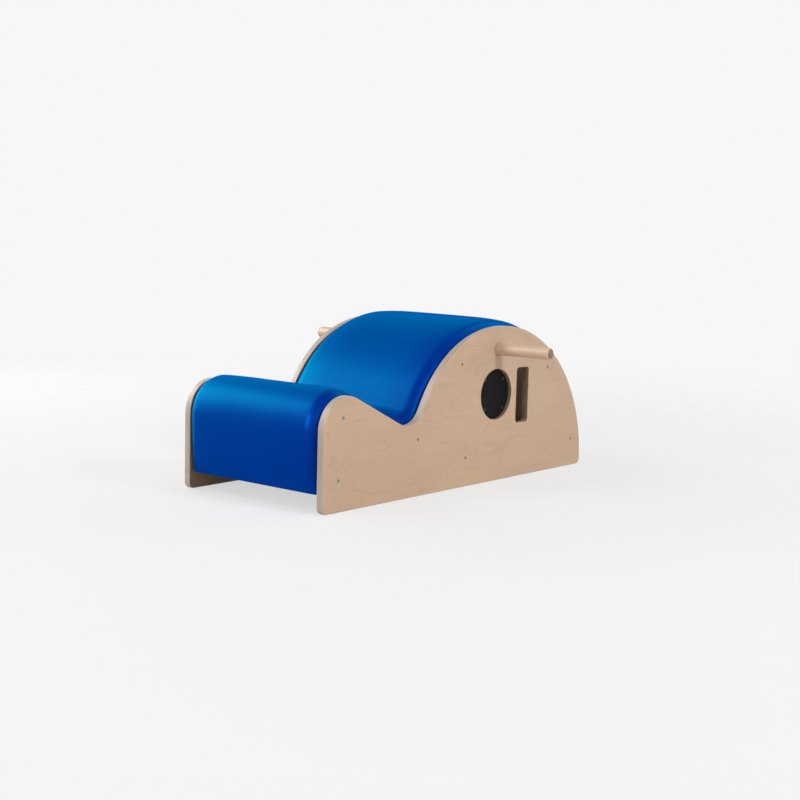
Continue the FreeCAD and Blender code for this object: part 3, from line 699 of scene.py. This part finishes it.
def make_cover():
    """The vinyl skin with rounded ends and a hem that wraps under the decks."""
    bottom = across_offsets(DISTANCES, [hem_profile()] * len(DISTANCES))
    tops, bottoms = list(SURFACE), list(bottom)
    for turn in END_TURNS:
        forward = math.sin(math.radians(turn))
        inward = 1 - math.cos(math.radians(turn))
        for end, sign in ((0, -1), (-1, 1)):
            outward = on_outline(DISTANCES[end])[1]
            up = np.array([outward[0], 0.0, outward[1]])
            advance = np.array([outward[1], 0.0, -outward[0]]) * sign * END_ROUNDING * forward
            upper = SURFACE[end] + advance - NORMALS[end] * END_ROUNDING * inward
            lower = bottom[end] + advance + up * HEM_ROUNDING * inward
            if sign < 0:
                tops.insert(0, upper)
                bottoms.insert(0, lower)
            else:
                tops.append(upper)
                bottoms.append(lower)
    rows = len(tops)
    end_rows = len(END_TURNS) + round(HEM_WIDTH / STATION_SPACING)

    def keep_bottom(i, j):
        by_side = j <= HEM_COLUMNS - 1 or j >= COLUMNS - HEM_COLUMNS
        return by_side or i < end_rows or i >= rows - 1 - end_rows

    points, faces = tube(np.array(tops), np.array(bottoms), keep_bottom)
    piece = shell_object("upholstery_cover", points, faces, BLUE_VINYL)
    skin = piece.modifiers.new("skin", "SOLIDIFY")
    skin.thickness = VINYL
    skin.offset = -1.0
    smoothing = piece.modifiers.new("smooth", "SUBSURF")
    smoothing.levels = smoothing.render_levels = 1
    return piece


def make_foam(name, first, last):
    """Foam between the cover and one deck."""
    keep = [i for i, distance in enumerate(DISTANCES) if first <= distance <= last]
    top = (SURFACE - NORMALS * (VINYL + FOAM_CLEARANCE))[keep]
    bottom = across_offsets(DISTANCES[keep], [[(y, -DECK_INSET) for y in row] for row in top[:, :, 1]])
    points, faces = tube(top, bottom)
    return shell_object(name, points, faces, CREAM_FOAM)


cover = make_cover()
seat_pad = make_foam("seat_padding", 0.0, VALLEY_SEAM)
barrel_pad = make_foam("barrel_padding", VALLEY_SEAM, PATH_LENGTH)

for piece, node_name, slot_name in (
        (cover, "vinyl_cover", "vinyl"), (seat_pad, "seat_foam", "foam"), (barrel_pad, "barrel_foam", "foam")):
    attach(piece, "body")
    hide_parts(node_name)


# ---------------------------------------------------------------- floor, light and camera
BACKGROUND = (0.925, 0.925, 0.925)
AMBIENT = 0.0
# The floor: how much of what is seen is its own plain tone, that tone, its colour,
# where it fades into the background, its rings and the steps round each
FLOOR_GLOW = 0.68
FLOOR_SEEN = (0.875, 0.875, 0.875)
FLOOR_COLOUR = (0.86, 0.86, 0.855)
FLOOR_FADE = (0.9, 3.2)
FLOOR_RADII = (0.6, 1.2, 2.4, 4.8, 12.0)
FLOOR_STEPS = 64


def seen_directly(tree):
    """1 for camera, glossy and transmission rays, and 0 for the rays that only carry light."""
    path = tree.nodes.new("ShaderNodeLightPath")
    first = tree.nodes.new("ShaderNodeMath")
    second = tree.nodes.new("ShaderNodeMath")
    first.operation = second.operation = "MAXIMUM"
    tree.links.new(path.outputs["Is Camera Ray"], first.inputs[0])
    tree.links.new(path.outputs["Is Glossy Ray"], first.inputs[1])
    tree.links.new(first.outputs[0], second.inputs[0])
    tree.links.new(path.outputs["Is Transmission Ray"], second.inputs[1])
    return second.outputs[0]


def floor_material():
    """Pale floor that keeps the object's shadow and fades into the plain background away from it."""
    shader = Shader("pale_floor", Roughness=0.9, Specular_IOR_Level=0.0)
    shader.set(shader.surface, "Base Color", FLOOR_COLOUR)
    glow = shader.add("Emission", {"Color": FLOOR_SEEN, "Strength": 1.0})
    share = shader.math("MULTIPLY", seen_directly(shader.tree), FLOOR_GLOW)
    lit = shader.add("MixShader", {0: share, 1: shader.surface.outputs[0], 2: glow.outputs[0]})
    x, y, _ = shader.split(shader.place)
    fade = shader.spread(shader.from_axis(x, y), *FLOOR_FADE)
    clear = shader.add("BsdfTransparent")
    mixed = shader.add("MixShader", {0: fade, 1: lit.outputs[0], 2: clear.outputs[0]})
    shader.set(shader.output, "Surface", mixed.outputs[0])
    return shader.material


def make_floor():
    """A round floor made of rings, flat on Z = 0."""
    points = [(0.0, 0.0, 0.0)]
    faces = []
    for ring, radius in enumerate(FLOOR_RADII):
        for k in range(FLOOR_STEPS):
            angle = 2 * math.pi * k / FLOOR_STEPS
            points.append((radius * math.cos(angle), radius * math.sin(angle), 0.0))
            a = 1 + ring * FLOOR_STEPS + k
            b = 1 + ring * FLOOR_STEPS + (k + 1) % FLOOR_STEPS
            if ring == 0:
                faces.append((0, a, b))
            else:
                faces.append((a - FLOOR_STEPS, a, b, b - FLOOR_STEPS))
    floor = mesh_object("floor", points, faces, floor_material())


make_floor()


def make_world():
    """Plain surroundings: one level for the light they give and a pale one for what camera and gloss see."""
    world = bpy.data.worlds.new("studio")
    bpy.context.scene.world = world
    world.use_nodes = True
    tree = world.node_tree
    tree.nodes.clear()
    light = tree.nodes.new("ShaderNodeBackground")
    light.inputs[0].default_value = (1.0, 1.0, 1.0, 1.0)
    light.inputs[1].default_value = AMBIENT
    seen = tree.nodes.new("ShaderNodeBackground")
    seen.inputs[0].default_value = (*BACKGROUND, 1.0)
    seen.inputs[1].default_value = 1.0
    mixed = tree.nodes.new("ShaderNodeMixShader")
    output = tree.nodes.new("ShaderNodeOutputWorld")
    tree.links.new(seen_directly(tree), mixed.inputs[0])
    tree.links.new(light.outputs[0], mixed.inputs[1])
    tree.links.new(seen.outputs[0], mixed.inputs[2])
    tree.links.new(mixed.outputs[0], output.inputs[0])


make_world()


# Azimuth and elevation of each softbox in degrees, its side in metres, and its power in watts
# for the light that it gives and for what gloss shows of it
SOFTBOXES = (
    (98, 15, 1.6, 45.0, 330.0), (75, 18, 1.6, 15.0, 90.0), (50, 18, 1.6, 12.0, 40.0), (20, 18, 1.6, 12.0, 42.0),
    (-20, 18, 1.6, 29.0, 28.0), (-20, 45, 1.6, 0.0, 25.0), (-60, 18, 1.6, 5.0, 0.0), (-91, 32, 0.5, 36.0, 15.0),
    (-95, 18, 1.6, 0.0, 100.0), (-90, 75, 1.6, 22.0, 0.0), (-130, 18, 1.6, 9.0, 50.0), (-165, 18, 1.6, 16.0, 6.0),
    (180, 18, 1.6, 0.0, 170.0), (168, 12, 0.8, 26.0, 0.0), (140, 45, 1.6, 30.0, 95.0))
SOFTBOX_DISTANCE = 3.2
LIT_POINT = Vector((0.0, 0.0, 0.2))


def softbox(name, towards, side, power):
    """A large square lamp, aimed at the lit point from the direction towards it."""
    lamp = bpy.data.lights.new(name, "AREA")
    lamp.shape = "RECTANGLE"
    lamp.size = lamp.size_y = side
    lamp.energy = power
    piece = bpy.data.objects.new(name, lamp)
    bpy.context.scene.collection.objects.link(piece)
    piece.location = LIT_POINT + towards * SOFTBOX_DISTANCE
    piece.rotation_mode = "QUATERNION"
    piece.rotation_quaternion = (-towards).to_track_quat("-Z", "Y")
    return piece


for number, (azimuth, elevation, side, light_watts, gloss_watts) in enumerate(SOFTBOXES):
    a, e = math.radians(azimuth), math.radians(elevation)
    towards = Vector((math.cos(a) * math.cos(e), math.sin(a) * math.cos(e), math.sin(e)))
    if light_watts:
        softbox(f"light_{number}", towards, side, light_watts).visible_glossy = False
    if gloss_watts:
        softbox(f"gloss_{number}", towards, side, gloss_watts).visible_diffuse = False

# Camera solved from the photograph: focal length and sensor in mm, place in metres, angles in degrees
LENS = 66.086
SENSOR = 36.0
CAMERA_PLACE = (-2.7084, -2.2726, 0.6382)
CAMERA_AZIMUTH = -50.22205
CAMERA_ELEVATION = 7.3054
CAMERA_ROLL = 1.4645
CLIP_RANGE = (0.05, 60.0)


def make_camera():
    """The camera at the photograph's viewing angle."""
    data = bpy.data.cameras.new("camera")
    data.lens = LENS
    data.sensor_width = SENSOR
    data.sensor_fit = "HORIZONTAL"
    data.clip_start, data.clip_end = CLIP_RANGE
    a, e, r = (math.radians(v) for v in (CAMERA_AZIMUTH, CAMERA_ELEVATION, CAMERA_ROLL))
    back = Vector((math.sin(a) * math.cos(e), -math.cos(a) * math.cos(e), math.sin(e)))
    right = Vector((math.cos(a), math.sin(a), 0.0))
    up = back.cross(right)
    turned_right = right * math.cos(r) + up * math.sin(r)
    turned_up = up * math.cos(r) - right * math.sin(r)
    camera = bpy.data.objects.new("camera", data)
    bpy.context.scene.collection.objects.link(camera)
    turn = Matrix((turned_right, turned_up, back)).transposed()
    camera.matrix_world = Matrix.Translation(CAMERA_PLACE) @ turn.to_4x4()
    bpy.context.scene.camera = camera


make_camera()
bpy.context.scene.view_settings.view_transform = "Standard"

bpy.context.view_layer.update()
